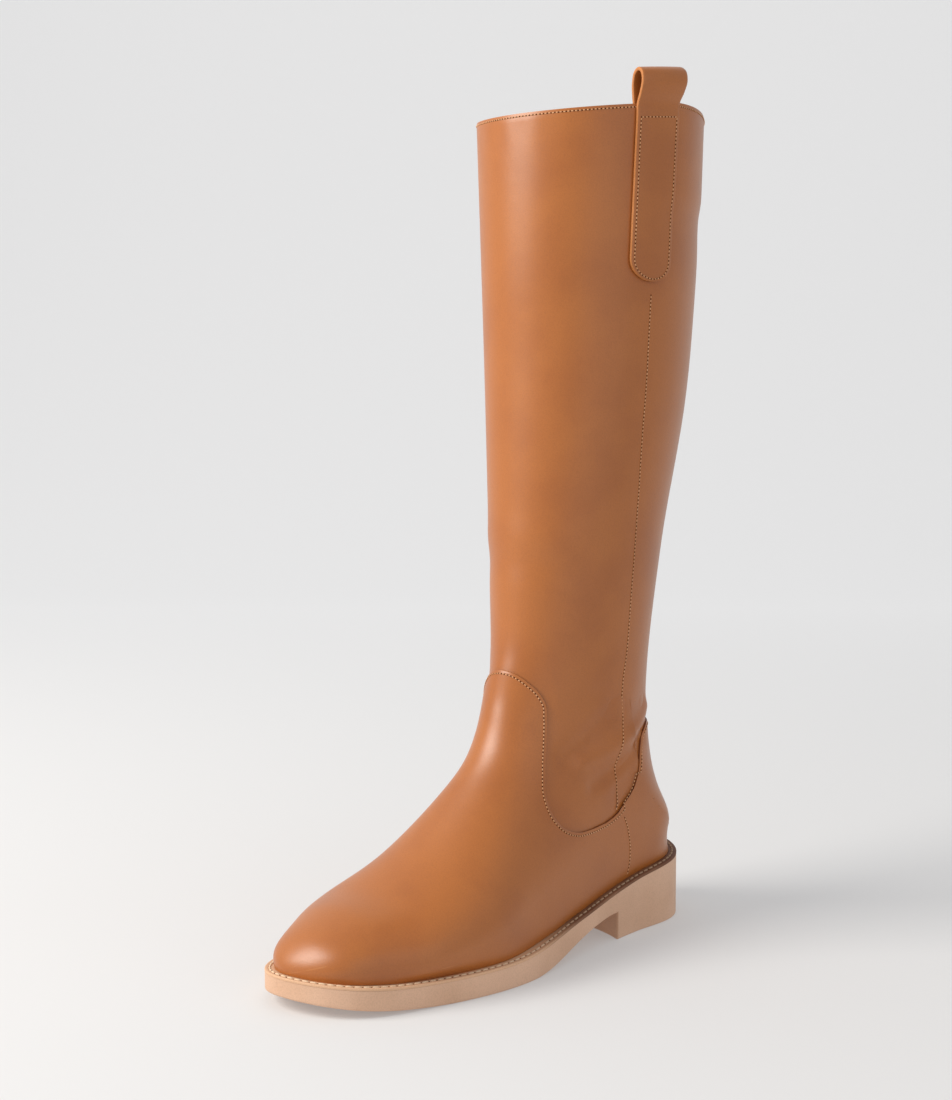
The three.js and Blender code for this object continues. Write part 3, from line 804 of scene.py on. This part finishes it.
def seam(s, t, out, pitch):
    """A seam along rows and places of the last, raised by out."""
    s, t = np.asarray(s, float), np.asarray(t, float)
    return evenly(skin_at(s, t, np.full(s.shape, float(out))), last_normal(s, t), pitch)


# %% seams
PITCH, EDGE_INSET = 1.95, 1.6
round_collar = np.linspace(-1, 1, 500)
rows = [seam(np.full(500, COLLAR - 0.02), round_collar, 0, PITCH)]
# side seams: from the collar down to the panel, given by section row and place round
SIDE_SEAM = curve(
    [6.9, 7.55, 8.11, 8.97, 9.56, 10.03, 10.56, 11.11, 11.7, 12.24, 12.92, 14],
    [0.52, 0.447, 0.44, 0.486, 0.5, 0.52, 0.508, 0.482, 0.446, 0.432, 0.43, 0.43],
)
FOOT_SEAM = curve([6.5, 6.72, 6.83, 6.95, 7.0], [0.985, 0.8, 0.713, 0.62, 0.575])
for sign in (-1, 1):
    s = np.linspace(6.95, 12.86 if sign < 0 else COLLAR - 0.05, 300)
    rows.append(seam(s, sign * SIDE_SEAM(s), 0, PITCH))
    s = np.linspace(6.52, 6.99, 80)
    rows.append(seam(s, sign * FOOT_SEAM(s), PANEL_PROUD, PITCH))
edge_points = skin_at(edge_s, edge_t, np.full(edge_s.shape, PANEL_PROUD))
edge_normals = last_normal(edge_s, edge_t)
inward = unit(np.cross(edge_normals, unit(np.gradient(edge_points, axis=0))))
down = last(edge_s - 0.05, edge_t) - last(edge_s, edge_t)
inward *= np.sign(np.sum(inward * down, -1))[:, None]
rows.append(evenly((edge_points + inward * 1.8)[12:-12], edge_normals[12:-12], PITCH))
# the loop: a bar across under the collar and a row along its edge
inset = 1 - EDGE_INSET / LOOP_TIP
stitch_steps = loop_run[6] - 7.0
straight = np.linspace(stitch_steps, LOOP_TIP, 100)
tip_turn = np.linspace(0, np.pi, 60)
left = loop_frame(straight, np.full((100, 1), -inset))[:, 0]
right = loop_frame(straight[::-1], np.full((100, 1), inset))[:, 0]
tip_steps = LOOP_TIP - (LOOP_TIP - EDGE_INSET) * np.sin(tip_turn)
tip_half = np.sqrt(np.maximum(LOOP_TIP**2 - (LOOP_TIP - tip_steps) ** 2, 0.01))
tip_shares = -np.cos(tip_turn) * (LOOP_TIP - EDGE_INSET) / tip_half
tip = loop_frame(tip_steps, tip_shares[:, None])[:, 0]
u_line = np.concatenate([left, tip[1:-1], right])
bar_line = loop_frame(np.full(40, stitch_steps), np.linspace(-inset, inset, 40)[:, None])[:, 0]
loop_normal = last_normal(13.0, LOOP_T)
for line in (u_line, bar_line):
    normals = np.tile(loop_normal, (len(line), 1))
    rows.append(evenly(line + normals * LOOP_THICK / 2, normals, PITCH))
stitches = bars("leather_stitches", rows, 1.15, 0.6, 0.5, thread, 0.12)
# dark dots between the stitches: painted shade of the stitch holes
stitch_hole_shade_marks = bars("stitch_hole_shade", rows, 0.85, 0.7, 0.3, painted_hole_shade, 0.04, shift=PITCH / 2)

WELT_PITCH = 4.2
x, y = plan_ring(np.linspace(0, 2 * np.pi, 1500), 3.0)
welt_line = np.stack([x, y, feather(y) - 0.5], -1)
up = np.tile([0.0, 0.0, 1.0], (len(welt_line), 1))
welt_rows = [evenly(welt_line, up, WELT_PITCH)]
welt_stitches = bars("welt_stitches", welt_rows, 3.5, 1.15, 0.9, welt_thread, 0.12)
# dark dots between the welt stitches: painted shade of the stitch holes
welt_hole_shade = bars("welt_hole_shade", welt_rows, 0.9, 0.9, 0.3, painted_hole_shade, 0.0, shift=WELT_PITCH / 2)

# %% [markdown]
# ## Stage, light and camera
# A plain pale sweep, one large soft light from the front left, a weak fill, and a camera
# at three-quarter front of the outer side. An endless floor would show a horizon, so the paper
# bends up behind the boot. It glows a little more with depth, which evens out the light's falloff.

# %% stage and camera
CAMERA = np.array([0.5897, -0.7580, 0.2782])
AHEAD = np.array([-0.670, 0.7381, -0.0793])
flat = unit(np.array([AHEAD[0], AHEAD[1], 0.0]))
sidewards = np.array([-flat[1], flat[0], 0.0])
bend = np.linspace(0, np.pi / 2, 24)
sweep_run = np.concatenate([[-4.0, 0.0, 1.6], 1.6 + 1.2 * np.sin(bend)[1:], [2.8]])
sweep_rise = np.concatenate([[0.0, 0.0, 0.0], 1.2 * (1 - np.cos(bend))[1:], [6.0]])
sweep_across = np.linspace(-5, 5, 9)
sweep = (
    flat[None, None] * sweep_run[:, None, None]
    + sidewards[None, None] * sweep_across[None, :, None]
    + np.array([0, 0, 1.0])[None, None] * sweep_rise[:, None, None]
)
floor_mesh = bpy.data.meshes.new("studio_sweep")
columns = len(sweep_across)
i, j = np.meshgrid(np.arange(len(sweep_run) - 1), np.arange(columns - 1), indexing="ij")
corner = i * columns + j
sweep_quads = np.stack([corner, corner + columns, corner + columns + 1, corner + 1], -1)
floor_mesh.from_pydata(sweep.reshape(-1, 3).tolist(), [], sweep_quads.reshape(-1, 4).tolist())
floor_mesh.polygons.foreach_set("use_smooth", np.ones(len(floor_mesh.polygons), bool))
floor = bpy.data.objects.new("studio_sweep", floor_mesh)
bpy.context.scene.collection.objects.link(floor)
paper = bpy.data.materials.new("matte studio paper")
paper.use_nodes = True
paper_shader = paper.node_tree.nodes["Principled BSDF"]
paper_shader.inputs["Base Color"].default_value = linear("#c2c2c2")
paper_shader.inputs["Roughness"].default_value = 0.9
paper_shader.inputs["Specular IOR Level"].default_value = 0.1
paper_shader.inputs["Emission Color"].default_value = linear("#ffffff")
nodes = paper.node_tree
place = add(nodes, "ShaderNodeTexCoord").outputs["Object"]
ahead = tuple(float(v) for v in flat)
depth = add(nodes, "ShaderNodeVectorMath", {0: place, 1: ahead}, operation="DOT_PRODUCT")
depth_to_glow = {0: depth.outputs["Value"], 1: 0.0, 2: 1.5, 3: 0.22, 4: 0.37}
glow = add(nodes, "ShaderNodeMapRange", depth_to_glow)
nodes.links.new(glow.outputs[0], paper_shader.inputs["Emission Strength"])
floor_mesh.materials.append(paper)
print("sweep", len(sweep_quads) * len(sweep_quads[0]), "faces")


# %% lights
def soft_light(name, place, aim, size, watts, colour="#ffffff"):
    """A square area light of a size in metres, turned towards a point."""
    data = bpy.data.lights.new(name, "AREA")
    data.shape, data.size, data.energy = "SQUARE", size, watts
    data.color = tuple(float(v) for v in linear(colour)[:3])
    light = bpy.data.objects.new(name, data)
    bpy.context.scene.collection.objects.link(light)
    light.location = place
    light.rotation_euler = (Vector(aim) - Vector(place)).to_track_quat("-Z", "Y").to_euler()
    return light


middle = np.array([0.0, -0.06, 0.22])
key_from = middle + 1.5 * (-0.3 * flat + 0.95 * sidewards) + np.array([0, 0, 0.95])
soft_light("key", key_from, middle, 1.0, 33, "#fffaf3")
fill_from = middle + 1.8 * (-0.8 * flat - 0.5 * sidewards) + np.array([0, 0, 0.5])
soft_light("fill", fill_from, middle, 1.6, 3)
world = bpy.data.worlds.new("studio")
world.use_nodes = True
world.node_tree.nodes["Background"].inputs[0].default_value = linear("#fbfcff")
world.node_tree.nodes["Background"].inputs[1].default_value = 0.55
bpy.context.scene.world = world
bpy.context.scene.view_settings.view_transform = "Standard"
print("lights at", key_from.round(2), fill_from.round(2))

# %% camera
camera_data = bpy.data.cameras.new("camera")
camera_data.sensor_fit = "HORIZONTAL"
camera_data.sensor_width = 36.0
camera_data.lens = 65.8
camera = bpy.data.objects.new("camera", camera_data)
bpy.context.scene.collection.objects.link(camera)
camera.location = CAMERA
camera.rotation_euler = Vector(AHEAD).to_track_quat("-Z", "Y").to_euler()
bpy.context.scene.camera = camera
print("camera", CAMERA)
